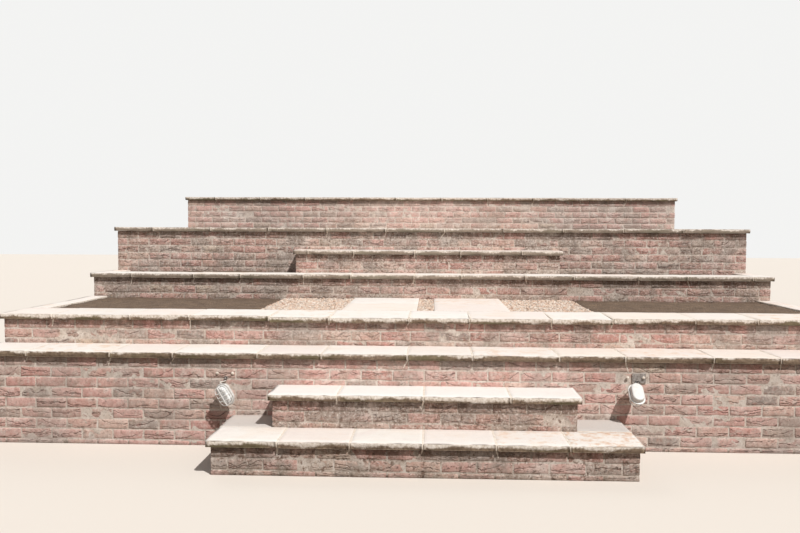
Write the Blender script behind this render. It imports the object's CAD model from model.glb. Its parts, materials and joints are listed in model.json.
# Looks of the garden steps: creased bricks, riven sandstone, gravel, soil and two wall lamps.
# Lengths are in metres: X runs along the treads, Y into the bank and Z up.

from functools import lru_cache
from itertools import combinations, permutations, product
import json
import math

import bpy
import numpy as np
from mathutils import Matrix, Vector


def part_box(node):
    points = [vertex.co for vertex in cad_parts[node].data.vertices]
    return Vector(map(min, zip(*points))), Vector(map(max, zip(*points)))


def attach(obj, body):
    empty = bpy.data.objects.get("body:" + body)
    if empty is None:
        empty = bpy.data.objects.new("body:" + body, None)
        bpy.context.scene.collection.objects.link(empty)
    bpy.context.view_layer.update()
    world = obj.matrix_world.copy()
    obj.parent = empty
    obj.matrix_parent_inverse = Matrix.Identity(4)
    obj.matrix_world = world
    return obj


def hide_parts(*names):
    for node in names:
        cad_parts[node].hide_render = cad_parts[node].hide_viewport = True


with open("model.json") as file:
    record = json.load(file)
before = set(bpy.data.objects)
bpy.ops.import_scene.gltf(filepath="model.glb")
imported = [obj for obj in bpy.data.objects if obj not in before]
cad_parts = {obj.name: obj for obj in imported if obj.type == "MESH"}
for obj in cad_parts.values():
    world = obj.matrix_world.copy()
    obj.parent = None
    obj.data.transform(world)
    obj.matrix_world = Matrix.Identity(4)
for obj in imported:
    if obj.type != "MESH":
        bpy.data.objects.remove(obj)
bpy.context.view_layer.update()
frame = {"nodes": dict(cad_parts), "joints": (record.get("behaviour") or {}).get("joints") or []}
rng = np.random.default_rng(11)

STEPS = "steps"
PIVOTS = {joint["child"]: Vector(joint["pos_m"]) for joint in frame["joints"]}
CIRCLE = 2 * math.pi
NEAR = 0.01
BRICK_L, BRICK_W, BRICK_H = 0.215, 0.1025, 0.065
JOINT = 0.010
COURSE = BRICK_H + JOINT
BED_T = 0.005
RECESS = 0.0021
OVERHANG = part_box("lower_wall")[0].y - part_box("tread_3_slabs")[0].y


# Camera, light and floor

CAMERA_AT = (0.0483, -7.9909, 1.5542)
CAMERA_TURN, CAMERA_TIP, CAMERA_ROLL = 2.268, -2.591, 0.228
FOCAL_SHARE = 803.65 / 800
SENSOR = 36.0
KEY_FROM, KEY_LIGHT, KEY_SPREAD = (0.50, -0.58, 1.0), 3.75, 1.5
FILL_FROM, FILL_LIGHT, FILL_SPREAD = (-0.6, 1.0, 0.9), 0.35, 30
SKY_LIGHT = 0.23
FLOOR_REACH = 40
FAR_CLIP = 200


def turn(degrees, axis):
    return Matrix.Rotation(math.radians(degrees), 4, axis)


def stand(name, data):
    """Puts an object with this data into the scene."""
    made = bpy.data.objects.new(name, data)
    bpy.context.scene.collection.objects.link(made)
    return made


def add_camera():
    data = bpy.data.cameras.new("camera")
    data.sensor_width = SENSOR
    data.lens = FOCAL_SHARE * SENSOR
    data.clip_end = FAR_CLIP
    camera = stand("camera", data)
    pose = turn(CAMERA_TURN, "Z") @ turn(90 + CAMERA_TIP, "X") @ turn(CAMERA_ROLL, "Z")
    camera.matrix_world = Matrix.Translation(CAMERA_AT) @ pose
    bpy.context.scene.camera = camera


def add_sun(name, from_side, strength, spread, colour):
    data = bpy.data.lights.new(name, "SUN")
    data.energy = strength
    data.angle = math.radians(spread)
    data.color = colour
    sun = stand(name, data)
    sun.rotation_mode = "QUATERNION"
    sun.rotation_quaternion = Vector(from_side).to_track_quat("Z", "Y")


def add_world():
    """An even pale light, with a white background where the camera, gloss or glass looks at it."""
    world = bpy.data.worlds.new("studio")
    world.use_nodes = True
    graph = Graph(world.node_tree)
    lit = graph.node("Background", {"Color": (0.97, 0.98, 1.0, 1.0), "Strength": SKY_LIGHT})
    seen = graph.node("Background", {"Color": (0.90, 0.90, 0.89, 1.0)})
    mix = graph.node("MixShader", {
        0: graph.seen_directly(), 1: lit.outputs[0], 2: seen.outputs[0]})
    graph.put(graph.tree.nodes["World Output"].inputs["Surface"], mix.outputs[0])
    bpy.context.scene.world = world


def add_floor():
    mesh = bpy.data.meshes.new("floor")
    corners = [(x * FLOOR_REACH, y * FLOOR_REACH, 0) for x, y in ((-1, -1), (1, -1), (1, 1), (-1, 1))]
    mesh.from_pydata(corners, [], [(0, 1, 2, 3)])
    floor = stand("floor", mesh)
    paint = Paint("floor_paint", 0.9)
    mesh.materials.append(paint.finish(
        paint.mix(paint.seen_directly(), rgb(132, 118, 104), rgb(222, 213, 203))))


# Materials

def rgb(red, green, blue):
    """A colour as a screen shows it, from 0 to 255, as Blender's linear colour."""
    def linear(c):
        return c / 12.92 if c <= 0.04045 else ((c + 0.055) / 1.055) ** 2.4
    return tuple(linear(c / 255) for c in (red, green, blue)) + (1.0,)


class Graph:
    """A node tree, and short names for the nodes that go into it."""

    def __init__(self, tree):
        self.tree = tree

    def put(self, socket, value):
        if isinstance(value, bpy.types.NodeSocket):
            self.tree.links.new(value, socket)
        else:
            socket.default_value = value

    def node(self, kind, inputs=None, **settings):
        made = self.tree.nodes.new("ShaderNode" + kind)
        for key, value in settings.items():
            setattr(made, key, value)
        for key, value in (inputs or {}).items():
            self.put(made.inputs[key], value)
        return made

    def math(self, operation, first, second=0.0):
        return self.node("Math", {0: first, 1: second}, operation=operation).outputs[0]

    def seen_directly(self):
        """1 for a ray that the camera, gloss or glass sends, and 0 for light on the object."""
        ray = self.node("LightPath").outputs
        bent = self.math("MAXIMUM", ray["Is Glossy Ray"], ray["Is Transmission Ray"])
        return self.math("MAXIMUM", ray["Is Camera Ray"], bent)


class Paint(Graph):
    """A procedural material."""

    def __init__(self, name, roughness, metallic=0.0):
        self.material = bpy.data.materials.new(name)
        self.material.use_nodes = True
        super().__init__(self.material.node_tree)
        self.shader = self.tree.nodes["Principled BSDF"]
        self.shader.inputs["Roughness"].default_value = roughness
        self.shader.inputs["Metallic"].default_value = metallic
        self.place = self.node("TexCoord").outputs["Object"]

    def noise(self, scale, detail, rough, at=None, warp=0.0):
        made = self.node("TexNoise", {
            "Vector": at or self.place, "Scale": scale, "Detail": detail,
            "Roughness": rough, "Distortion": warp})
        return made.outputs["Fac"]

    def cells(self, scale, output):
        return self.node("TexVoronoi", {"Vector": self.place, "Scale": scale}).outputs[output]

    def span(self, value, low, high, to_low=0.0, to_high=1.0):
        made = self.node("MapRange", {
            "Value": value, "From Min": low, "From Max": high,
            "To Min": to_low, "To Max": to_high}, clamp=True)
        return made.outputs["Result"]

    def vector(self, operation, first, second):
        return self.node("VectorMath", {0: first, 1: second}, operation=operation).outputs[0]

    def both(self, first, second):
        return self.math("MULTIPLY", first, second)

    def mix(self, share, first, second):
        made = self.node("Mix", {0: share, 6: first, 7: second}, data_type="RGBA")
        return made.outputs[2]

    def over(self, colour, tone, value, low, high, share=1.0):
        """Lays a tone over the colour, up to the share, as the value goes from low to high."""
        return self.mix(self.span(value, low, high, 0.0, share), colour, tone)

    def ramp(self, value, stops):
        made = self.node("ValToRGB", {"Fac": value})
        ramp = made.color_ramp
        while len(ramp.elements) < len(stops):
            ramp.elements.new(0.5)
        for element, (place, *colour) in zip(ramp.elements, stops):
            element.position = place
            element.color = rgb(*colour)
        return made.outputs["Color"]

    def value(self, name):
        return self.node("Attribute", attribute_name=name).outputs["Fac"]

    def axes(self):
        made = self.node("SeparateXYZ", {"Vector": self.place})
        return made.outputs["X"], made.outputs["Y"], made.outputs["Z"]

    def joined(self, x, y, z):
        return self.node("CombineXYZ", {"X": x, "Y": y, "Z": z}).outputs["Vector"]

    def finish(self, colour, height=None, depth=0.0):
        """Connects the colour, and a bump whose full height is depth."""
        self.put(self.shader.inputs["Base Color"], colour)
        if height is not None:
            bump = self.node("Bump", {"Height": height, "Distance": depth, "Strength": 1.0})
            self.put(self.shader.inputs["Normal"], bump.outputs["Normal"])
        return self.material


BRICK_TONES = [
    (0.00, 148, 134, 126), (0.06, 168, 156, 147), (0.14, 186, 168, 157),
    (0.22, 206, 168, 158), (0.45, 218, 173, 163), (0.62, 206, 152, 142),
    (0.76, 222, 194, 178), (0.88, 198, 144, 134), (0.96, 174, 160, 149),
    (1.00, 226, 208, 186),
]
MORTAR = rgb(230, 219, 208)
GRIME = rgb(98, 76, 62)
LIME = rgb(232, 220, 210)
PATINA = rgb(158, 144, 134)


def weathered(paint, colour, wall):
    """Soot and damp below the slabs, splashes at the foot, grey patches, lime bloom and flecks."""
    z = paint.axes()[2]
    patches = paint.noise(3.1, 6, 0.64)
    streaks = paint.noise(1, 5, 0.68, at=paint.vector("MULTIPLY", paint.place, (9, 9, 3)))
    bloom = paint.noise(4.3, 5, 0.66, at=paint.vector("ADD", paint.place, (7.7, 7.7, 7.7)))
    flecks = paint.noise(61, 4, 0.75)
    below = paint.both(paint.span(z, wall["top"] - 0.11, wall["top"] - 0.03),
                       paint.span(streaks, 0.4, 0.58))
    above = paint.both(paint.span(z, wall["foot"] + 0.11, wall["foot"]),
                       paint.span(patches, 0.4, 0.62))
    for share, kind, tone in (
            (paint.span(patches, 0.49, 0.6), "patch", PATINA),
            (paint.span(bloom, 0.52, 0.64), "lime", LIME),
            (below, "soot", GRIME),
            (above, "splash", wall["splash_colour"]),
            (paint.span(paint.noise(23, 4, 0.7), 0.56, 0.64), "stain", rgb(120, 96, 82)),
            (paint.span(flecks, 0.56, 0.62), "fleck", LIME),
            (paint.span(flecks, 0.44, 0.38), "fleck", GRIME)):
        colour = paint.mix(paint.both(share, wall[kind]), colour, tone)
    return colour


def fold(paint, seed, at):
    """A dark fold that bows across a brick's face: 1 on its line, and missing from some bricks."""
    tone, along, up = (paint.value(name) for name in ("tone", "along", "up"))

    def chance(factor, *span):
        return paint.span(paint.math("FRACT", paint.both(tone, seed * factor)), *span)

    aside = paint.math("SUBTRACT", along, chance(2.3, 0.0, 1.0, -0.8, 0.8))
    bent = paint.both(chance(3.7, 0.0, 1.0, -0.2, 1.2), paint.both(aside, aside))
    wave = paint.span(paint.noise(8, 4, 0.6, at=at), 0.2, 0.8, -0.8, 0.8)
    line = paint.math("ADD", paint.math("ADD", chance(1.0, 0.0, 1.0, -1.0, 0.2), bent), wave)
    off = paint.math("ABSOLUTE", paint.math("SUBTRACT", up, line))
    broken = paint.span(paint.noise(24, 3, 0.6, at=at), 0.36, 0.6)
    return paint.both(paint.both(paint.span(off, 0.02, 0.15, 1.0, 0.0), chance(1.9, 0.5, 0.54)), broken)


def brick_paint(name, wall):
    paint = Paint(name + "_brick", 0.92)
    x, y, z = paint.axes()
    tone = paint.value("tone")
    along = paint.math("ADD", paint.math("ADD", x, y), paint.both(tone, 31.0))
    up = paint.math("ADD", z, paint.both(tone, 5.0))
    local = paint.joined(along, paint.both(tone, 17.0), up)
    mottle = paint.noise(30, 5, 0.66, at=local)
    broad = paint.noise(8, 3, 0.6, at=local, warp=0.6)
    grain = paint.noise(230, 2, 0.6)
    folds = paint.math("MAXIMUM", fold(paint, 7.31, local), fold(paint, 13.77, local))
    folds = paint.math("MAXIMUM", folds, paint.both(fold(paint, 23.9, local), 0.8))
    flat = paint.vector("MULTIPLY", paint.place, (1.0, 1.0, 2.2))
    pits = paint.both(paint.span(paint.noise(42, 5, 0.68, at=flat), 0.6, 0.66), wall["pits"])
    colour = paint.ramp(tone, BRICK_TONES)
    colour = paint.over(colour, rgb(178, 158, 142), broad, 0.52, 0.64, 0.6)
    colour = paint.over(colour, rgb(182, 126, 114), mottle, 0.5, 0.68, 0.65)
    colour = paint.over(colour, rgb(232, 200, 188), mottle, 0.48, 0.32, 0.6)
    colour = paint.over(colour, rgb(146, 112, 100), grain, 0.52, 0.75, 0.3)
    smear = paint.both(paint.span(paint.noise(17, 5, 0.68), 0.54, 0.64), wall["smear"])
    colour = paint.mix(smear, colour, MORTAR)
    colour = paint.mix(wall["wash"], colour, wall["wash_colour"])
    colour = weathered(paint, colour, wall)
    colour = paint.mix(paint.both(folds, wall["folds"]), colour, rgb(112, 82, 72))
    colour = paint.mix(paint.both(pits, 0.68), colour, rgb(88, 66, 58))
    height = paint.math("SUBTRACT", paint.both(mottle, 0.5), paint.math("MAXIMUM", folds, pits))
    height = paint.math("ADD", height, paint.both(grain, 0.2))
    return paint.finish(colour, height, wall["relief"])


def mortar_paint(name, wall):
    paint = Paint(name + "_mortar", 0.95)
    broad = paint.noise(19, 5, 0.66)
    grain = paint.noise(300, 2, 0.6)
    colour = paint.over(MORTAR, rgb(208, 192, 178), broad, 0.38, 0.62)
    colour = paint.over(colour, rgb(174, 156, 142), grain, 0.5, 0.75, 0.4)
    colour = paint.over(colour, rgb(138, 116, 102), paint.noise(31, 4, 0.7), 0.56, 0.64, 0.6)
    colour = paint.mix(wall["wash"], colour, wall["wash_colour"])
    colour = weathered(paint, colour, wall)
    height = paint.math("ADD", paint.both(broad, 0.8), paint.both(grain, 0.2))
    return paint.finish(colour, height, 0.004)


def pointing_paint():
    paint = Paint("pointing", 0.95)
    broad = paint.noise(22, 4, 0.6)
    colour = paint.over(rgb(236, 226, 214), rgb(214, 200, 184), broad, 0.35, 0.65)
    return paint.finish(colour, broad, 0.002)


SLAB_TONES = [
    (0.00, 230, 216, 208), (0.18, 233, 226, 218), (0.45, 234, 228, 221),
    (0.70, 232, 221, 213), (0.88, 234, 222, 211), (1.00, 226, 220, 214),
]


def sandstone_paint(name, moss, damp=0.0, film=0.0, film_colour=rgb(240, 237, 233), rusty=0.0):
    """Riven sandstone. Moss, from 0 to 1, browns and greens the hewn edges, damp brings that
    further up, a film of dust lies over the colour, and rusty adds stains."""
    paint = Paint(name, 0.86)
    tone = paint.value("tone")
    spread = paint.both(tone, 23.0)
    local = paint.vector("ADD", paint.place, paint.joined(spread, spread, 0.0))
    clouds = paint.noise(3.2, 5, 0.6, at=local, warp=0.5)
    bands = paint.noise(1, 4, 0.6, at=paint.vector("MULTIPLY", local, (2.5, 11.0, 1.0)), warp=0.8)
    cleft = paint.noise(13, 6, 0.62, at=local)
    grain = paint.noise(260, 2, 0.6)
    colour = paint.ramp(tone, SLAB_TONES)
    colour = paint.over(colour, rgb(230, 206, 186), clouds, 0.5, 0.72, 0.4)
    colour = paint.over(colour, rgb(222, 202, 196), clouds, 0.46, 0.28, 0.4)
    line = paint.span(paint.math("ABSOLUTE", paint.math("SUBTRACT", bands, 0.52)), 0.0, 0.018, 1.0, 0.0)
    line = paint.both(line, paint.span(clouds, 0.4, 0.6, 0.0, 0.25))
    colour = paint.mix(line, colour, rgb(206, 170, 146))
    rust = paint.both(paint.span(paint.noise(9, 6, 0.7), 0.52, 0.62),
                      paint.span(paint.math("FRACT", paint.both(tone, 5.3)), 0.7, 0.8, 0.0, 0.42))
    colour = paint.mix(rust, colour, rgb(216, 172, 134))
    colour = paint.mix(film, colour, film_colour)
    blotches = paint.both(paint.span(paint.noise(15, 6, 0.7, at=local), 0.5, 0.6), rusty)
    colour = paint.mix(blotches, colour, rgb(206, 160, 124))
    specks = paint.both(paint.span(paint.noise(110, 2, 0.7), 0.62, 0.7),
                        paint.span(cleft, 0.5, 0.66))
    colour = paint.mix(paint.both(specks, 0.45), colour, rgb(150, 138, 128))
    hewn = paint.span(paint.value("edge"), 0.45, 0.95)
    colour = paint.mix(hewn, colour, hewn_colour(paint, moss, damp))
    height = paint.math("ADD", paint.both(cleft, 0.8), paint.both(grain, 0.2))
    return paint.finish(colour, height, 0.0045)


def hewn_colour(paint, moss, damp):
    """The broken face of a slab's edge: cream at the top, with brown and moss further down."""
    up = paint.value("up")
    chips = paint.noise(52, 5, 0.68)
    patches = paint.noise(6.5, 5, 0.66)
    green = paint.span(paint.noise(2.7, 4, 0.6), 0.5, 0.62, 0.0, 0.7 * moss)
    cream = paint.over(rgb(240, 230, 219), rgb(200, 184, 166), chips, 0.42, 0.64)
    brown = paint.over(rgb(160, 139, 117), rgb(116, 97, 80), chips, 0.36, 0.64)
    brown = paint.mix(green, brown, rgb(114, 105, 76))
    brown = paint.mix(1 - moss, brown, rgb(222, 214, 205))
    line = paint.math("ADD", up, paint.span(patches, 0.3, 0.7, 0.5 - damp, -0.5 - damp))
    return paint.over(brown, cream, line, 0.3, 0.62)


def gravel_paint():
    paint = Paint("gravel_bed", 0.92)
    grey = paint.node("SeparateColor", {"Color": paint.cells(58, "Color")}).outputs["Red"]
    colour = paint.ramp(grey, PEBBLE_TONES)
    distance = paint.cells(58, "Distance")
    colour = paint.over(colour, rgb(122, 100, 84), distance, 0.35, 0.75, 0.7)
    return paint.finish(colour, paint.math("SUBTRACT", 1.0, distance), 0.01)


PEBBLE_TONES = [
    (0.00, 196, 160, 138), (0.20, 214, 186, 166), (0.45, 226, 204, 184),
    (0.65, 206, 190, 178), (0.85, 238, 226, 212), (1.00, 180, 164, 152),
]


def pebble_paint():
    paint = Paint("pebbles", 0.85)
    colour = paint.ramp(paint.value("tone"), PEBBLE_TONES)
    speckle = paint.noise(300, 3, 0.6)
    colour = paint.over(colour, rgb(150, 126, 108), speckle, 0.5, 0.75, 0.4)
    return paint.finish(colour, speckle, 0.0008)


def soil_paint():
    paint = Paint("bed_soil", 0.97)
    broad = paint.noise(9, 5, 0.65)
    crumbs = paint.cells(70, "Distance")
    colour = paint.over(rgb(104, 84, 68), rgb(140, 116, 94), broad, 0.35, 0.65)
    colour = paint.over(colour, rgb(72, 56, 44), crumbs, 0.2, 0.7, 0.6)
    fleck = paint.span(paint.noise(150, 1, 0.5), 0.7, 0.76)
    colour = paint.mix(paint.both(fleck, 0.6), colour, rgb(170, 148, 124))
    height = paint.math("SUBTRACT", broad, crumbs)
    return paint.finish(colour, height, 0.012)


def core_paint(name, light, dark):
    """Concrete or hardcore behind the facings."""
    paint = Paint(name, 0.95)
    broad = paint.noise(14, 4, 0.6)
    stones = paint.cells(40, "Distance")
    colour = paint.over(light, dark, broad, 0.35, 0.65)
    colour = paint.mix(paint.span(stones, 0.1, 0.4, 0.5, 0.0), colour, dark)
    return paint.finish(colour, stones, 0.004)


def coated_paint(name, colour, dirt, roughness, metallic=0.0):
    """Moulded or painted lamp parts, with a film of dirt."""
    paint = Paint(name, roughness, metallic)
    film = paint.noise(38, 5, 0.65)
    speck = paint.noise(420, 2, 0.6)
    shade = paint.over(colour, dirt, film, 0.5, 0.74, 0.55)
    shade = paint.over(shade, dirt, speck, 0.58, 0.75, 0.3)
    return paint.finish(shade, speck, 0.0003)


RIB_PITCH = 0.0075


def glass_paint(name, matrix):
    """Prismatic glass with ribs along the lamp, nearly white from what lies behind it."""
    paint = Paint(name, 0.14)
    for key, value in (("Transmission Weight", 0.06), ("Subsurface Weight", 1.0), ("IOR", 1.45),
                       ("Subsurface Radius", (0.03, 0.03, 0.03)), ("Subsurface Scale", 1.0)):
        paint.shader.inputs[key].default_value = value
    across = paint.node("VectorMath", {0: paint.place, 1: matrix.col[0].to_3d()},
                        operation="DOT_PRODUCT").outputs["Value"]
    ribs = paint.math("SINE", paint.both(across, CIRCLE / RIB_PITCH))
    film = paint.noise(60, 3, 0.6)
    colour = paint.over(rgb(250, 250, 248), rgb(232, 232, 229), film, 0.4, 0.7, 0.5)
    colour = paint.over(colour, rgb(176, 176, 174), ribs, 0.2, -0.9, 0.2)
    return paint.finish(colour, ribs, 0.001)


# Blocks with rounded edges

NOISE_SIZE = 32
NOISE_TABLE = np.random.default_rng(5).random((NOISE_SIZE,) * 3)


def noise(points, scale):
    """Smooth noise from -1 to 1 at each point, with the bumps 1 / scale apart."""
    q = points * np.asarray(scale, float) + 97.3
    cell = np.floor(q).astype(int)
    part = q - cell
    part = part * part * (3 - 2 * part)
    total = np.zeros(len(points))
    for corner in range(8):
        step = np.array([corner & 1, corner >> 1 & 1, corner >> 2])
        weight = np.where(step, part, 1 - part).prod(axis=1)
        i, j, k = ((cell + step) % NOISE_SIZE).T
        total += weight * NOISE_TABLE[i, j, k]
    return 2 * total - 1


@lru_cache(maxsize=None)
def shell(*counts):
    """The surface points of a block cut into cells along X, Y and Z, and its outward faces."""
    index, faces = {}, []
    for axis in range(3):
        u, v = (axis + 1) % 3, (axis + 2) % 3
        for level, a, b in product((0, counts[axis]), range(counts[u]), range(counts[v])):
            loop = []
            for da, db in ((0, 0), (1, 0), (1, 1), (0, 1)):
                at = [0, 0, 0]
                at[axis], at[u], at[v] = level, a + da, b + db
                loop.append(index.setdefault(tuple(at), len(index)))
            faces.append(loop if level else loop[::-1])
    return np.array(list(index)), np.array(faces)


def cuts(length, cell, radius, low, high):
    """Places of the cuts along one side: even cells, and a narrow one at each open end."""
    first, last = radius * low, length - radius * high
    inner = np.linspace(first, last, max(1, round((last - first) / cell)) + 1)
    return np.concatenate([[0.0] * low, inner, [length] * high])


OPEN, SHUT, LOW_OPEN = (True, True), (False, False), (True, False)


def block(lo, hi, cell, radius, open_sides=(OPEN, OPEN, OPEN)):
    """Points, outward directions and faces of a block, rounded where its sides are open."""
    lo, hi = np.array(lo, float), np.array(hi, float)
    places = [lo[a] + cuts(hi[a] - lo[a], cell[a], radius, *open_sides[a]) for a in range(3)]
    grid, faces = shell(*(len(p) - 1 for p in places))
    points = np.stack([places[a][grid[:, a]] for a in range(3)], axis=1)
    trim = radius * np.array(open_sides, float)
    core = np.clip(points, lo + trim[:, 0], hi - trim[:, 1])
    away = points - core
    size = np.linalg.norm(away, axis=1, keepdims=True)
    outward = away / np.maximum(size, 1e-9)
    return np.where(size > 0, core + outward * radius, points), outward, faces


class Stock:
    """Gathers closed blocks into one piece. Each has a tone and one of the piece's materials."""

    def __init__(self):
        self.points, self.faces, self.slots = [], [], []
        self.values = {name: [] for name in ("tone", "edge", "along", "up")}
        self.total = 0

    def add(self, points, faces, slot=0, **values):
        """Each value is one number for the block, or one for each point."""
        self.points.append(points)
        self.faces.append(faces + self.total)
        self.slots.append(np.full(len(faces), slot))
        for name, column in self.values.items():
            column.append(np.broadcast_to(values.get(name, 0.0), len(points)))
        self.total += len(points)

    def make(self, name, body, slot, materials, replaced=()):
        points, faces = np.concatenate(self.points), np.concatenate(self.faces)
        sides = faces.shape[1]
        mesh = bpy.data.meshes.new(name)
        mesh.vertices.add(len(points))
        mesh.vertices.foreach_set("co", points.ravel())
        mesh.loops.add(faces.size)
        mesh.loops.foreach_set("vertex_index", faces.ravel())
        mesh.polygons.add(len(faces))
        mesh.polygons.foreach_set("loop_start", np.arange(0, faces.size, sides))
        mesh.polygons.foreach_set("material_index", np.concatenate(self.slots))
        mesh.polygons.foreach_set("use_smooth", np.ones(len(faces), bool))
        for key, values in self.values.items():
            mesh.attributes.new(key, "FLOAT", "POINT").data.foreach_set("value", np.concatenate(values))
        mesh.update(calc_edges=True)
        return place_piece(name, mesh, body, materials, replaced)


def place_piece(name, mesh, body, materials, replaced=()):
    for material in materials:
        mesh.materials.append(material)
    piece = stand(name, mesh)
    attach(piece, body)
    if replaced:
        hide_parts(*replaced)
    return piece


def solids(node):
    """The lowest and highest corner of each solid of a CAD node."""
    mesh = frame["nodes"][node].data
    points = np.array([v.co for v in mesh.vertices])
    _, weld = np.unique(np.round(points, 4), axis=0, return_inverse=True)
    weld = weld.ravel()
    edges = weld[np.array([e.vertices[:] for e in mesh.edges])]
    group, before = np.arange(weld.max() + 1), None
    while not np.array_equal(group, before):
        before = group.copy()
        np.minimum.at(group, edges, group[edges].min(axis=1, keepdims=True))
    owner = group[weld]
    return [(points[owner == g].min(0), points[owner == g].max(0)) for g in np.unique(owner)]


# Brickwork

FINE = (0.025, 0.06, 0.0165)
MEDIUM = (0.042, 0.06, 0.027)
COARSE = (0.11, 0.12, 0.06)
MORTAR_CELL = (0.033, 0.09, 0.025)
PLAIN_MORTAR = (0.08, 0.09, 0.06)
ARRIS = 0.0042
THINNEST = 0.015


def brick(stock, axis, side, plane, span, depth, levels, cell, corner):
    """One brick with its long side along the axis, a little out of line and out of true."""
    across = 1 - axis
    lo, hi = np.zeros(3), np.zeros(3)
    lo[axis], hi[axis] = span
    lo[across], hi[across] = sorted((plane, plane - side * depth))
    lo[2], hi[2] = levels
    sides, size = [OPEN] * 3, [cell[0], cell[0], cell[2]]
    if not corner:
        sides[across], size[across] = (side < 0, side > 0), cell[1]
    points, outward, faces = block(lo, hi, size, ARRIS, sides)
    tone = rng.random()
    middle = (lo + hi) / 2
    local = (points - middle) / (hi - lo) * 2
    shift = points + tone * 40
    rough = 0.0020 * noise(shift, 17) + 0.0012 * noise(shift, 47)
    points = points + outward * rough[:, None]
    points[:, 2] += (points[:, axis] - middle[axis]) * rng.normal(0, 0.007)
    points[:, 2] += rng.normal(0, 0.0012) * (1 - 2 * local[:, axis] ** 2)
    points[:, across] += (points[:, 2] - middle[2]) * rng.normal(0, 0.014)
    points[:, across] += rng.normal(0, 0.0010)
    points[:, 2] = np.maximum(points[:, 2], 0)
    stock.add(points, faces, tone=tone, along=local[:, axis], up=local[:, 2])


def courses(top, z_low):
    """The levels of each course, from the top down, and whether it starts with a header."""
    z = top - BED_T
    while z > z_low + THINNEST:
        yield (max(z - BRICK_H, z_low), z), round(z / COURSE) % 2
        z -= COURSE


def stretchers(a, b):
    """Cuts a run into stretchers, with one half brick where the run asks for it."""
    halves = max(1, round((b - a + JOINT) / (BRICK_W + JOINT)))
    unit = (b - a + JOINT) / halves
    return [(a + i * unit, a + min(i + 2, halves) * unit - JOINT) for i in range(0, halves, 2)]


def lay(stock, axis, side, plane, ends, top, z_low, cell, hidden=None):
    """Lays one face in stretcher bond. Each end has a place and a manner: own turns the corner,
    meet leaves room for the brick that turns it, shared turns it in every other course, and
    butt stops at another wall."""
    for levels, header in courses(top, z_low):
        length, depth = (BRICK_W, BRICK_L) if header else (BRICK_L, BRICK_W)
        run = []
        for sign, (place, manner) in zip((1, -1), ends):
            if manner == "own" or (manner == "shared" and not header):
                span = sorted((place, place + sign * length))
                brick(stock, axis, side, plane, span, depth, levels, cell, True)
            inset = {"own": length, "shared": length, "meet": depth, "butt": 0.0}[manner]
            run.append(place + sign * (inset + JOINT))
        for span in stretchers(*run):
            if hidden is None or not hidden(span, levels):
                brick(stock, axis, side, plane, span, BRICK_W, levels, cell, False)


def mortar(stock, lo, hi, recessed, cell=MORTAR_CELL):
    """The body of a wall, set back on the sides that show."""
    flags = np.array(recessed, float)
    lo, hi = np.array(lo) + RECESS * flags[:, 0], np.array(hi) - RECESS * flags[:, 1]
    points, outward, faces = block(lo, hi, cell, 0.002, recessed)
    points = points + outward * (0.0008 * noise(points, 9) + 0.0009 * noise(points, 23))[:, None]
    stock.add(points, faces, slot=1)


WEATHER_KINDS = ("soot", "splash", "patch", "lime", "stain", "pits", "smear", "folds", "fleck",
                 "relief", "wash", "wash_colour")
END_WALLS = (0.2, 0.6, 0.4, 0.2, 0.3, 0.35, 0.45, 0.82, 0.3, 0.0055, 0.0, MORTAR)
WEATHER = {
    "step_1_brickwork": (0.7, 0.6, 0.9, 0.4, 0.9, 0.8, 0.4, 0.5, 0.45, 0.0055, 0.22, rgb(162, 142, 126)),
    "step_2_brickwork": (0.75, 0.5, 0.85, 0.35, 0.85, 0.9, 0.4, 0.65, 0.55, 0.0075, 0.40,
                         rgb(142, 122, 108)),
    "lower_wall": (0.3, 1.0, 0.45, 0.25, 0.3, 0.35, 0.45, 0.74, 0.3, 0.0055, 0.09, rgb(232, 208, 194)),
    "riser_4_wall": (0.55, 0.5, 0.7, 0.25, 0.45, 0.35, 0.45, 0.6, 0.4, 0.0055, 0.12, rgb(160, 140, 124)),
    "middle_wall": (0.6, 0.5, 0.75, 0.25, 0.6, 0.7, 0.45, 0.65, 0.6, 0.0085, 0.27, rgb(154, 134, 118)),
    "step_6_brickwork": (0.8, 0.5, 0.8, 0.25, 0.8, 0.7, 0.45, 0.6, 0.65, 0.0085, 0.25,
                         rgb(168, 148, 134)),
    "upper_wall": (0.55, 0.5, 0.8, 0.4, 0.6, 0.6, 0.45, 0.6, 0.6, 0.0085, 0.25, rgb(170, 152, 138)),
    "back_wall": (0.25, 0.3, 0.4, 0.5, 0.4, 0.35, 0.8, 0.4, 0.3, 0.0055, 0.25, rgb(236, 216, 204)),
}
SPLASHED = {"lower_wall": rgb(188, 172, 164)}


def make_masonry(stock, node, z_low):
    wall = dict(zip(WEATHER_KINDS, WEATHER.get(node, END_WALLS)), top=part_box(node)[1].z, foot=z_low,
                splash_colour=SPLASHED.get(node, rgb(150, 134, 116)))
    stock.make(node + "_masonry", STEPS, "brick",
               [brick_paint(node, wall), mortar_paint(node, wall)], [node])


def retaining_wall(node, front_node, hidden=None, cell=FINE):
    """A wall that shows its front above the piece before it, and its two ends."""
    stock = Stock()
    lo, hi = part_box(node)
    z_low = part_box(front_node)[1].z if front_node else 0.0
    lay(stock, 0, -1, lo.y, ((lo.x, "own"), (hi.x, "own")), hi.z, z_low, cell, hidden)
    mortar(stock, lo, hi, (OPEN, LOW_OPEN, SHUT))
    make_masonry(stock, node, z_low)


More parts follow.
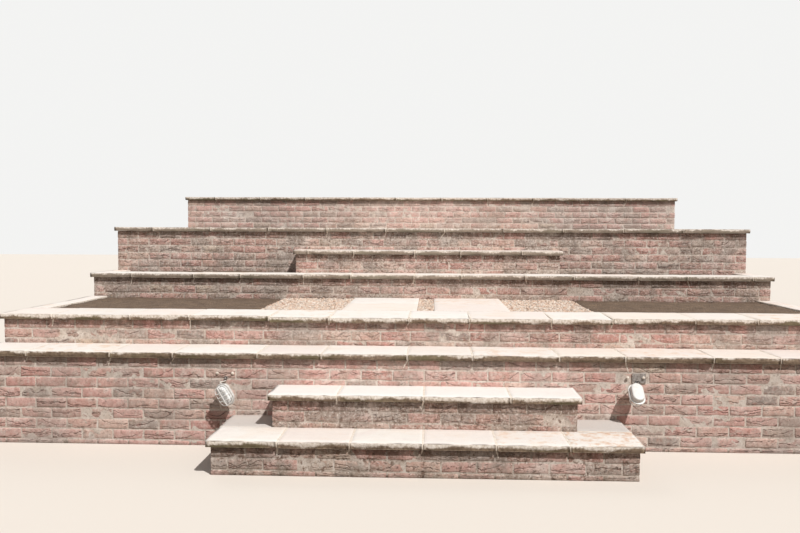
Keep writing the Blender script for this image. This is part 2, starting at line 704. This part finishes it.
def step_brickwork(node, below, behind, cell=FINE):
    """The skin of a step: its front and its two returns."""
    stock = Stock()
    lo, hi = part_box(node)
    z_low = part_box(below)[0].z if below else 0.0
    lay(stock, 0, -1, lo.y, ((lo.x, "own"), (hi.x, "own")), hi.z, z_low, cell)
    wall_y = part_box(behind)[0].y
    for side, plane in ((-1, lo.x), (1, hi.x)):
        lay(stock, 1, side, plane, ((lo.y, "meet"), (wall_y, "butt")), hi.z, z_low, cell)
        low, high = sorted((plane, plane - side * BRICK_W))
        mortar(stock, (low, lo.y + BRICK_W, lo.z), (high, hi.y, hi.z),
               ((side < 0, side > 0), SHUT, SHUT))
    mortar(stock, lo, (hi.x, lo.y + BRICK_W, hi.z), (OPEN, LOW_OPEN, SHUT))
    make_masonry(stock, node, z_low)


def covered_by(*steps):
    """Says which bricks of the wall behind them the steps hide."""
    boxes = [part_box(step) for step in steps]
    return lambda span, levels: any(
        lo.x + NEAR < span[0] and span[1] < hi.x - NEAR and lo.z - NEAR < levels[0] and levels[1] < hi.z
        for lo, hi in boxes)


def back_wall():
    node, stock = "back_wall", Stock()
    lo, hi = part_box(node)
    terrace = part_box("terrace_fill")[1].z
    shared = ((lo.x, "shared"), (hi.x, "shared"))
    lay(stock, 0, -1, lo.y, shared, hi.z, 0.0, MEDIUM, lambda span, levels: levels[1] < terrace)
    lay(stock, 0, 1, hi.y, ((lo.x, "own"), (hi.x, "own")), hi.z, 0.0, COARSE)
    mortar(stock, lo, hi, (OPEN, OPEN, SHUT), PLAIN_MORTAR)
    make_masonry(stock, node, terrace)


def end_walls():
    """The brick ends, stepped with the retaining walls."""
    walls = ("lower_wall", "riser_4_wall", "middle_wall", "upper_wall")
    back_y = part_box("back_wall")[0].y
    for side, name in ((-1, "left_end_wall"), (1, "right_end_wall")):
        stock = Stock()
        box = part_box(name)
        plane = box[0].x if side < 0 else box[1].x
        z_low = 0.0
        for wall in walls:
            lo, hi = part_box(wall)
            lay(stock, 1, side, plane, ((lo.y, "meet"), (back_y, "butt")), hi.z, z_low, COARSE)
            z_low = hi.z
        for lo, hi in solids(name):
            mortar(stock, lo, hi, ((side < 0, side > 0), SHUT, SHUT), PLAIN_MORTAR)
        make_masonry(stock, name, 0.0)


def make_brickwork():
    step_brickwork("step_1_brickwork", None, "lower_wall")
    step_brickwork("step_2_brickwork", "step_1_slabs", "lower_wall")
    retaining_wall("lower_wall", None, covered_by("step_1_brickwork", "step_2_brickwork"))
    retaining_wall("riser_4_wall", "bench_fill")
    retaining_wall("middle_wall", "landing_fill", cell=MEDIUM)
    step_brickwork("step_6_brickwork", "tread_5_slabs", "upper_wall", MEDIUM)
    retaining_wall("upper_wall", "upper_fill", covered_by("step_6_brickwork"), MEDIUM)
    back_wall()
    end_walls()


# Slabs

EDGE_R = 0.004


def slab(stock, lo, hi, cell, dressed, fall=0.0, finish=0):
    """One riven slab. Dressed says for X and Y whether the low and high side are hewn, fall how
    far the front has sunk, and finish which of the materials it takes."""
    points, outward, faces = block(lo, hi, cell, EDGE_R)
    tone = rng.random()
    size = hi - lo
    own = points + tone * 50
    top = np.maximum(outward[:, 2], 0)
    rim = np.hypot(outward[:, 0], outward[:, 1])
    side = outward[:, :2] / np.maximum(rim, 1e-9)[:, None]
    hewn = sum(dressed[a][s] * np.maximum((2 * s - 1) * side[:, a], 0)
               for a in (0, 1) for s in (0, 1))
    plain = np.clip((rim > 0) - hewn, 0, 1)
    down = 1 - (points[:, 2] - lo[2]) / size[2]
    bite = 0.001 + 0.0055 * (0.5 + 0.5 * noise(own, (34, 34, 55))) + 0.0035 * noise(own, (80, 80, 90))
    bite = bite + 0.010 * down ** 2 * (0.55 + 0.45 * noise(own, 9))
    points[:, 2] += top * (0.0013 * noise(own, 6) + 0.0009 * noise(own, 19))
    points[:, :2] -= side * (hewn * bite + plain * (0.001 + 0.001 * noise(own, 30)))[:, None]
    middle = (lo + hi) / 2
    points[:, 2] += (points[:, 0] - middle[0]) * rng.normal(0, 0.0022)
    points[:, 2] += (points[:, 1] - middle[1]) * rng.normal(0, 0.0025) + rng.uniform(-0.0015, 0.0005)
    points[:, 2] -= fall * (hi[1] - points[:, 1]) / size[1]
    points[:, 1] += (points[:, 0] - middle[0]) * rng.normal(0, 0.003)
    edge = np.maximum(rim, down > 0.6)
    stock.add(points, faces, slot=finish, tone=tone, edge=edge, up=1 - down)


NOSED_CELL = (0.020, 0.060, 0.016)
FAR_CELL = (0.028, 0.070, 0.020)
PLAIN_CELL = (0.040, 0.050, 0.020)
SUNK_BY = 0.010


def dribble(stock, x, face, top):
    """Mortar that has run down the wall from a joint."""
    reach = rng.uniform(0.03, 0.08)
    points, outward, faces = block(
        (x - 0.006, face - 0.003, top - reach), (x + 0.006, face + 0.002, top),
        (0.004, 0.005, 0.006), 0.002)
    down = top - points[:, 2]
    points = points + outward * (0.0012 * noise(points, 70))[:, None]
    points[:, :2] += ((x, face + 0.001) - points[:, :2]) * 0.8 * ((down / reach) ** 2)[:, None]
    points[:, 0] += down * rng.normal(-0.15, 0.2) + 0.005 * noise(points * (0, 0, 1), 35)
    stock.add(points, faces, slot=1)


def pointing(stock, boxes, front, back, face=None):
    """Mortar between neighbouring slabs, a little behind their edges. Below some of the joints
    it has run down the wall."""
    for (lo, hi), (other_lo, other_hi) in combinations(boxes, 2):
        if abs(lo[2] - other_lo[2]) > 0.001:
            continue
        start, end = np.minimum(hi, other_hi), np.maximum(lo, other_lo)
        for axis in (0, 1):
            across = 1 - axis
            if not (0.004 < end[axis] - start[axis] < 0.02 and start[across] - end[across] > 0.05):
                continue
            low, high = np.zeros(3), np.zeros(3)
            low[axis], high[axis] = start[axis] - 0.002, end[axis] + 0.002
            low[across], high[across] = end[across], start[across]
            low[1], high[1] = max(low[1], front), min(high[1], back)
            low[2], high[2] = lo[2] + 0.001, hi[2] - 0.0018
            points, outward, faces = block(low, high, (0.05, 0.05, 0.03), 0.001)
            points = points + outward * (0.001 * noise(points, 25))[:, None]
            stock.add(points, faces, slot=1)
            if face is not None and axis == 0 and rng.random() < 0.6:
                dribble(stock, (start[0] + end[0]) / 2, face, lo[2])


def slab_row(node, cell, materials, ends=(True, True), back=None, sunk=None, overhang=True,
             finish=None):
    """All the slabs of one node and the pointing between them. Finish finds a slab's material."""
    stock = Stock()
    boxes = solids(node)
    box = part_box(node)
    for lo, hi in boxes:
        dressed = ((ends[0] and lo[0] < box[0].x + NEAR, ends[1] and hi[0] > box[1].x - NEAR),
                   (overhang and lo[1] < box[0].y + NEAR, back is not None and hi[1] > box[1].y - NEAR))
        fall = SUNK_BY if sunk and sunk[0] < (lo[0] + hi[0]) / 2 < sunk[1] else 0.0
        slab(stock, lo, hi, cell, dressed, fall, finish(lo, hi) if finish else 0)
    start = box[0].y + (0.011 if overhang else 0.0)
    pointing(stock, boxes, start, back if back is not None else box[1].y,
             box[0].y + OVERHANG if overhang else None)
    stock.make(node + "_riven", STEPS, "sandstone", materials, [node])


def step_1_finish(lo, hi):
    """Beside step two the slabs of step one are grey, and its last front slab is rusty."""
    if lo[1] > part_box("step_2_slabs")[0].y + OVERHANG:
        return 2
    return 3 if hi[0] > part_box("step_1_slabs")[1].x - NEAR else 0


def make_slabs():
    joints = pointing_paint()
    materials = [sandstone_paint("riven_sandstone", 1.0), joints]
    pale = [sandstone_paint("pale_sandstone", 0.8, 0.25), joints]
    brown = [sandstone_paint("brown_sandstone", 1.0, 0.36), joints]
    slab_row("step_1_slabs", NOSED_CELL, materials + [
        sandstone_paint("grey_sandstone", 1.0, film=0.85, film_colour=rgb(192, 184, 178)),
        sandstone_paint("stained_sandstone", 1.0, rusty=0.6)], finish=step_1_finish)
    slab_row("step_2_slabs", NOSED_CELL,
             [sandstone_paint("bleached_sandstone", 1.0, film=0.55), joints])
    slab_row("tread_3_slabs", NOSED_CELL, brown)
    slab_row("tread_4_slabs", NOSED_CELL, materials, sunk=(-1.2, 1.42))
    for node in ("tread_5_slabs", "step_6_slabs", "tread_7_slabs"):
        slab_row(node, FAR_CELL, pale)
    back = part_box("back_wall")[1].y - 0.004
    slab_row("back_wall_coping", FAR_CELL, materials, back=back)
    for node in ("landing_slabs", "terrace_slabs"):
        slab_row(node, PLAIN_CELL, materials, (False, False), overhang=False)
    for node, ends in (("left_end_coping", (True, False)), ("right_end_coping", (False, True))):
        slab_row(node, PLAIN_CELL, materials, ends, overhang=False)


# Gravel and soil

SOIL_CELL = (0.042, 0.042, 0.05)


def icosahedron():
    golden = (1 + math.sqrt(5)) / 2
    corners = [(-1, golden, 0), (1, golden, 0), (-1, -golden, 0), (1, -golden, 0)]
    corners = [(c[-n % 3], c[(1 - n) % 3], c[(2 - n) % 3]) for n in range(3) for c in corners]
    points = np.array(corners, float) / math.hypot(1, golden)
    longest = 2.1 / math.hypot(1, golden)
    faces = []
    for face in permutations(range(12), 3):
        trio = points[list(face)]
        sides = np.linalg.norm(trio - np.roll(trio, 1, axis=0), axis=1)
        if face[0] == min(face) and sides.max() < longest and np.linalg.det(trio) > 0:
            faces.append(face)
    return points, np.array(faces)


def scatter_pebbles(name, node, per_square_metre, smallest, largest, material):
    """Pebbles bedded in the gravel of a CAD node."""
    stock = Stock()
    ball, faces = icosahedron()
    for lo, hi in solids(node):
        size = hi - lo
        for _ in range(int(size[0] * size[1] * per_square_metre)):
            radius = rng.uniform(smallest, largest) / 2
            shape = ball * rng.uniform(0.85, 1.15, (12, 1)) * (1.25, 0.95, 0.62) * radius
            spin = Matrix.Rotation(rng.uniform(0, CIRCLE), 3, "Z")
            lean = Matrix.Rotation(rng.normal(0, 0.35), 3, "X")
            place = lo + size * rng.random(3)
            margin = radius * 0.8
            place[:2] = np.clip(place[:2], lo[:2] + margin, hi[:2] - margin)
            place[2] = hi[2] + rng.uniform(-0.2, 0.45) * radius
            stock.add(shape @ np.array(lean @ spin) + place, faces, tone=rng.random())
    stock.make(name, STEPS, "gravel", [material])


def make_soil(node, material):
    """A raked bed, mounded a little."""
    stock = Stock()
    for lo, hi in solids(node):
        points, _, faces = block(lo, hi, SOIL_CELL, EDGE_R, (SHUT, SHUT, (False, True)))
        part = (points - lo) / (hi - lo)
        middle = 16 * part[:, 0] * (1 - part[:, 0]) * part[:, 1] * (1 - part[:, 1])
        rise = 0.006 * noise(points, 5) + 0.006 * noise(points, 14) + 0.012 * middle - 0.004
        points[:, 2] += np.where(part[:, 2] > 0.5, rise, 0)
        stock.add(points, faces)
    stock.make(node + "_raked", STEPS, "soil", [material], [node])


def make_ground():
    pebbles = pebble_paint()
    soil = soil_paint()
    scatter_pebbles("landing_pebbles", "landing_gravel", 2400, 0.014, 0.026, pebbles)
    scatter_pebbles("terrace_pebbles", "terrace_gravel", 1000, 0.018, 0.032, pebbles)
    for node in ("landing_beds", "upper_beds", "terrace_beds"):
        make_soil(node, soil)


def repaint(material, *nodes):
    """Gives CAD nodes whose shape is right their finish."""
    for node in nodes:
        data = frame["nodes"][node].data
        data.materials.clear()
        data.materials.append(material)


# Wall lamps. Each lies in its own frame: rim at zero, glass along Z and long side along Y.

RIM_L, RIM_W, RIM_T = 0.170, 0.110, 0.008
BACK_MARGIN, BACK_T = 0.012, 0.042
BOSS_R, BOSS_OUT = 0.008, 0.004
LAMPS = {
    "left": dict(head=(0.014, -0.092, -0.104), roll=27, tip=12, swing=-14, end=1),
    "right": dict(head=(-0.031, -0.110, -0.066), roll=6, tip=133, swing=8, end=-1),
}


def oval(inset, count=14):
    """An outline with straight sides and round ends, counterclockwise."""
    radius = RIM_W / 2 - inset
    half = (RIM_L - RIM_W) / 2
    points = []
    for end in (1, -1):
        for n in range(count + 1):
            angle = math.pi * n / count
            points.append((end * radius * math.cos(angle), end * (radius * math.sin(angle) + half)))
        for n in range(1, 5):
            points.append((-end * radius, end * half * (1 - 2 * n / 5)))
    return points


def skin(rings, tips=None):
    """A closed form through rings of points. Fans close its ends to the two tips, or without
    them the last ring joins the first."""
    count = len(rings[0])
    points = [point for ring in rings for point in ring]
    faces = []
    for j in range(count):
        k = (j + 1) % count
        for i in range(len(rings) - (1 if tips else 0)):
            a, b = i * count, (i + 1) % len(rings) * count
            faces.append((a + j, a + k, b + k, b + j))
        if tips:
            last = len(points) - count
            faces += [(len(points), k, j), (len(points) + 1, last + j, last + k)]
    return points + list(tips or ()), faces


def circle(sides):
    """The cosine and sine of each side's angle."""
    return [(math.cos(CIRCLE * n / sides), math.sin(CIRCLE * n / sides)) for n in range(sides)]


def turned_shell(profile):
    """A closed form whose outline shrinks and rises as the profile of (inset, height) says."""
    return skin([[(x, y, height) for x, y in oval(inset)] for inset, height in profile],
                [(0, 0, profile[0][1]), (0, 0, profile[-1][1])])


def wire(path, radius, closed=False, sides=10):
    """A round wire along a path."""
    path = [Vector(p) for p in path]
    rings = []
    side = None
    for i, at in enumerate(path):
        before = path[i - 1] if i or closed else at
        after = path[(i + 1) % len(path)] if i < len(path) - 1 or closed else at
        ahead = (after - before).normalized()
        if side is None:
            side = ahead.orthogonal()
        side = (side - ahead * side.dot(ahead)).normalized()
        up = ahead.cross(side)
        rings.append([at + radius * (c * side + s * up) for c, s in circle(sides)])
    return skin(rings, None if closed else (path[0], path[-1]))


def hoop(half, top, bend, foot):
    """A guard wire from its foot on the rim, over the glass and down again: (across, height)."""
    arc = [(half - bend + bend * math.cos(a), top - bend + bend * math.sin(a))
           for a in (math.radians(18 * n) for n in range(6))]
    flat = [(half * (1 - 2 * n / 8), top) for n in range(2, 7)]
    return [(half, foot)] + arc + flat + [(-u, h) for u, h in reversed(arc)] + [(-half, foot)]


GUARD_INSET = 0.014
GUARD_TOP = 0.0422
WIRE_R = 0.0027


def lamp_guard():
    """The wire cage: a ring on the rim, one over the glass, and the wires that join them."""
    half_l, half_w = RIM_L / 2 - GUARD_INSET, RIM_W / 2 - GUARD_INSET
    bars = (RIM_L - RIM_W) / 2
    parts = [wire([(x, y, height) for x, y in oval(GUARD_INSET, 18)], radius, True)
             for height, radius in ((0.0032, 0.0032), (GUARD_TOP - 0.006, 0.0030))]
    parts.append(wire([(0, u, h) for u, h in hoop(half_l, GUARD_TOP, 0.006, 0.002)], WIRE_R))
    for place in (-bars, 0, bars):
        across = hoop(half_w, GUARD_TOP - 0.001, 0.006, 0.002)
        parts.append(wire([(u, place, h) for u, h in across], WIRE_R))
    return parts


def lamp_boss(end):
    """The boss on the held end of the lamp's back."""
    reach = RIM_L / 2 - BACK_MARGIN + BOSS_OUT
    path = [(0, end * (reach - back), -(BACK_T + RIM_T) / 2) for back in (0.016, 0.002, 0.0)]
    return wire(path, BOSS_R, sides=24)


def lamp_piece(name, parts, matrix, body, material, replaced):
    mesh = bpy.data.meshes.new(name)
    points, faces = [], []
    for part_points, part_faces in parts:
        faces += [tuple(i + len(points) for i in face) for face in part_faces]
        points += [matrix @ Vector(p) for p in part_points]
    mesh.from_pydata(points, [], faces)
    mesh.polygons.foreach_set("use_smooth", np.ones(len(mesh.polygons), bool))
    mesh.update()
    piece = place_piece(name, mesh, body, [material], replaced)
    split = piece.modifiers.new("edges", "EDGE_SPLIT")
    split.split_angle = math.radians(40)
    return piece


HOUSING = [
    (0.030, -0.0420), (0.022, -0.0418), (0.0165, -0.0400), (0.0135, -0.0365), (0.0125, -0.0300),
    (0.0115, -0.0120), (0.0095, -0.0090), (0.0030, -0.0080), (0.0008, -0.0072), (0.0, -0.0055),
    (0.0, -0.0022), (0.0009, -0.0006), (0.0030, 0.0), (0.0080, 0.0), (0.0090, -0.0008),
    (0.0170, -0.0008), (0.0180, 0.0), (0.0205, 0.0),
]
GLASS = [
    (0.0200, -0.0005), (0.0200, 0.0120), (0.0208, 0.0180), (0.0228, 0.0235), (0.0262, 0.0280),
    (0.0310, 0.0308), (0.0380, 0.0320), (0.0500, 0.0322),
]


def make_lamps():
    housing = coated_paint("lamp_white", rgb(222, 219, 215), rgb(186, 178, 166), 0.45)
    cage = coated_paint("guard_white", rgb(250, 248, 245), rgb(222, 216, 208), 0.4)
    for side, lamp in LAMPS.items():
        body = side + "_lamp"
        aim = turn(lamp["swing"], "Z") @ turn(lamp["tip"], "X") @ turn(90, "X") @ turn(lamp["roll"], "Z")
        matrix = Matrix.Translation(PIVOTS[body] + Vector(lamp["head"])) @ aim
        lamp_piece(body + "_body", [turned_shell(HOUSING), lamp_boss(lamp["end"])], matrix, body,
                   housing, [body + "_housing"])
        lamp_piece(body + "_dome", [turned_shell(GLASS)], matrix, body,
                   glass_paint(body + "_ribbed_glass", matrix), [body + "_glass"])
        lamp_piece(body + "_cage", lamp_guard(), matrix, body, cage, [body + "_guard"])


def fixing_paint():
    """Dull zinc with smears of mortar."""
    paint = Paint("dulled_zinc", 0.65)
    blots = paint.noise(70, 5, 0.7)
    smears = paint.noise(42, 5, 0.7)
    colour = paint.over(rgb(172, 164, 158), rgb(122, 112, 106), blots, 0.4, 0.62)
    colour = paint.over(colour, rgb(208, 196, 184), smears, 0.56, 0.64)
    colour = paint.over(colour, rgb(92, 80, 74), smears, 0.42, 0.34, 0.8)
    return paint.finish(colour, blots, 0.0015)


def swivel_paint(eye):
    """A fixing that is black around its eye, while its stem has lost its coating."""
    paint = Paint("worn_swivel", 0.5)
    away = paint.node("VectorMath", {0: paint.place, 1: eye}, operation="DISTANCE")
    film = paint.noise(60, 4, 0.65)
    black = paint.over(rgb(40, 40, 41), rgb(92, 86, 78), film, 0.5, 0.74, 0.4)
    pale = paint.over(rgb(218, 212, 204), rgb(168, 160, 150), film, 0.45, 0.7, 0.7)
    share = paint.span(away.outputs["Value"], 0.0125, 0.0155)
    return paint.finish(paint.mix(share, black, pale), film, 0.0004)


SCREW_RISE, SCREW_REACH = 0.033, 0.055
SCREW_HEAD = [(0.0, 0.0), (0.0108, 0.0), (0.0110, -0.0006), (0.0108, -0.0014), (0.0088, -0.0015),
              (0.0086, -0.0030), (0.0076, -0.0044), (0.0058, -0.0052), (0.0030, -0.0056), (0.0, -0.0057)]


def lathe(profile, at, sides=20):
    """A closed turned form around Y, from (radius, Y) pairs that start and end on the axis."""
    rings = [[at + Vector((radius * c, y, radius * s)) for c, s in circle(sides)]
             for radius, y in profile[1:-1]]
    return skin(rings, [at + Vector((0, profile[i][1], 0)) for i in (0, -1)])


def make_fixings():
    """The domed heads of each lamp's two fixing screws, and the finish of what holds the lamps."""
    zinc = coated_paint("bright_zinc", rgb(240, 228, 214), rgb(176, 158, 142), 0.5)
    for side, shift, out in (("left", -0.008, 0.0045), ("right", -0.014, 0.0105)):
        heads = [lathe(SCREW_HEAD, PIVOTS[side + "_lamp"]
                       + Vector((shift + way * SCREW_REACH, -out, SCREW_RISE))) for way in (-1, 1)]
        lamp_piece(side + "_screw_heads", heads, Matrix(), STEPS, zinc, ())
    repaint(fixing_paint(), "left_lamp_fixing", "right_lamp_fixing")
    repaint(swivel_paint(PIVOTS["left_lamp"] + Vector((0, -0.0155, 0))), "left_lamp_swivel")
    repaint(coated_paint("black_metal", rgb(44, 44, 45), rgb(92, 86, 78), 0.5), "right_lamp_swivel")


# The whole scene

add_camera()
add_world()
add_floor()
add_sun("key", KEY_FROM, KEY_LIGHT, KEY_SPREAD, (1.0, 0.99, 0.972))
add_sun("fill", FILL_FROM, FILL_LIGHT, FILL_SPREAD, (1.0, 1.0, 1.0))

make_brickwork()
make_slabs()
make_ground()
make_lamps()
make_fixings()
repaint(gravel_paint(), "landing_gravel", "terrace_gravel")
repaint(core_paint("core_concrete", rgb(176, 170, 160), rgb(138, 132, 124)),
        "step_1_core", "step_2_core", "step_6_core")
repaint(core_paint("hardcore_fill", rgb(128, 108, 88), rgb(94, 78, 62)),
        "bench_fill", "landing_fill", "upper_fill", "terrace_fill")

bpy.context.scene.view_settings.view_transform = "Standard"
